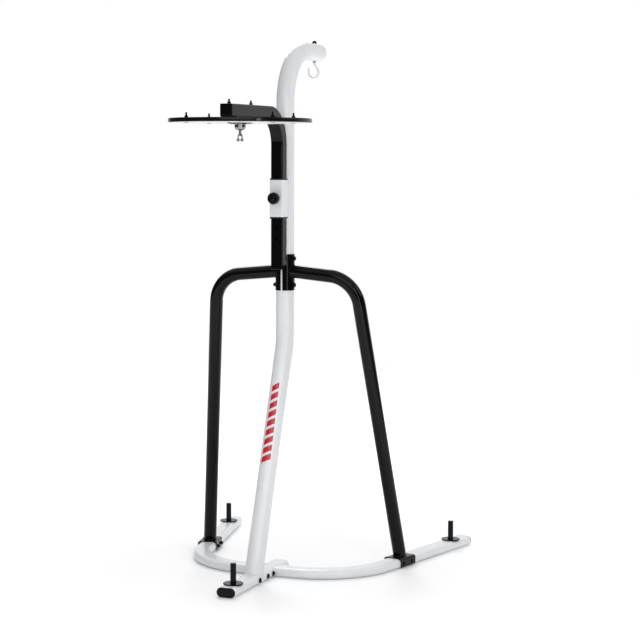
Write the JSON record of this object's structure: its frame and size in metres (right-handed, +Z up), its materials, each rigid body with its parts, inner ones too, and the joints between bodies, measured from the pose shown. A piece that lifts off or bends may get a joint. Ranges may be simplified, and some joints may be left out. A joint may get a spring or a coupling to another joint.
{
  "type": "punching bag stand",
  "caption": "Freestanding boxing stand: bow base with weight pegs, bent mast with a heavy-bag hook, and a height-adjustable round speed-bag platform.",
  "frame": {"origin": "On the floor, on the axis of the upright mast, which is the centre of the footprint's box.", "axes": "+Z up, -Y the speed-bag side, +Y the heavy-bag arm's side, +X the side of the bolt heads; the X = 0 plane is the frame's mirror plane."},
  "size_m": [1.1634, 1.4155, 2.1376],
  "materials": {
    "white_paint": "glossy powder coat",
    "black_paint": "high-gloss powder coat",
    "black_plastic": "moulded, slightly glossy",
    "black_fastener": "black oxide",
    "zinc_steel": "zinc plated",
    "chrome": "polished",
    "white_board": "painted board",
    "edge_band": "glossy edging"
  },
  "bodies": {
    "stand": {"foot_tube": "white_paint", "base_right_arm": "white_paint", "base_left_arm": "white_paint", "lower_upright": "white_paint", "upper_mast": "white_paint", "mast_end_cap": "white_paint", "height_sleeve": "white_paint", "bag_hook": "white_paint", "front_weight_peg": "black_paint", "right_weight_peg": "black_paint", "left_weight_peg": "black_paint", "front_peg_flange": "black_paint", "right_peg_flange": "black_paint", "left_peg_flange": "black_paint", "right_leg": "black_paint", "left_leg": "black_paint", "right_half_collar": "black_paint", "left_half_collar": "black_paint", "right_saddle": "black_paint", "left_saddle": "black_paint", "plunger_barrel": "black_paint", "foot_front_cap": "black_plastic", "foot_rear_cap": "black_plastic", "right_arm_cap": "black_plastic", "left_arm_cap": "black_plastic", "sleeve_top_bushing": "black_plastic", "sleeve_bottom_bushing": "black_plastic", "hook_cap_nut": "black_plastic", "foot_bolts": "black_fastener", "foot_nuts": "black_fastener", "collar_bolts": "black_fastener", "collar_nuts": "black_fastener", "saddle_bolts": "black_fastener", "saddle_nuts": "black_fastener", "upright_tongue": "zinc_steel", "mast_splice": "zinc_steel", "hook_washer": "zinc_steel", "hook_lock_nut": "zinc_steel", "plunger_spring": "zinc_steel"},
    "speed_bag_arm": {"speed_arm": "black_paint", "post_plug": "black_plastic", "beam_plug": "black_plastic", "platform_crossbars": "black_paint", "platform_board": "white_board", "board_edge_band": "edge_band", "platform_bolts": "black_fastener", "platform_nuts": "black_fastener", "beam_bolts": "black_fastener", "beam_nuts": "black_fastener", "swivel_plate": "black_paint", "swivel_screws": "zinc_steel", "swivel_cup": "chrome"},
    "locking_plunger": {"plunger_pin": "zinc_steel", "plunger_knob": "black_plastic"},
    "swivel": {"swivel_rotor": "chrome"},
    "shackle": {"swivel_shackle": "chrome", "shackle_pin": "zinc_steel"}
  },
  "joints": [
    {"name": "arm_height", "type": "slide", "parent": "stand", "child": "speed_bag_arm", "axis": [0, 0, 1], "range_m": [-0.08, 0.16]},
    {"name": "plunger_pull", "type": "slide", "parent": "stand", "child": "locking_plunger", "axis": [0, -1, 0], "range_m": [0, 0.008], "stiffness_N_per_m": 1500, "springref_m": -0.006, "deforming": ["plunger_spring"]},
    {"name": "swivel_spin", "type": "hinge", "parent": "speed_bag_arm", "child": "swivel", "pos_m": [0, -0.438, 1.768], "axis": [0, 0, 1], "continuous": true},
    {"name": "shackle_tilt", "type": "hinge", "parent": "swivel", "child": "shackle", "pos_m": [0, -0.438, 1.744], "axis": [1, 0, 0], "range_deg": [-75, 75]}
  ]
}
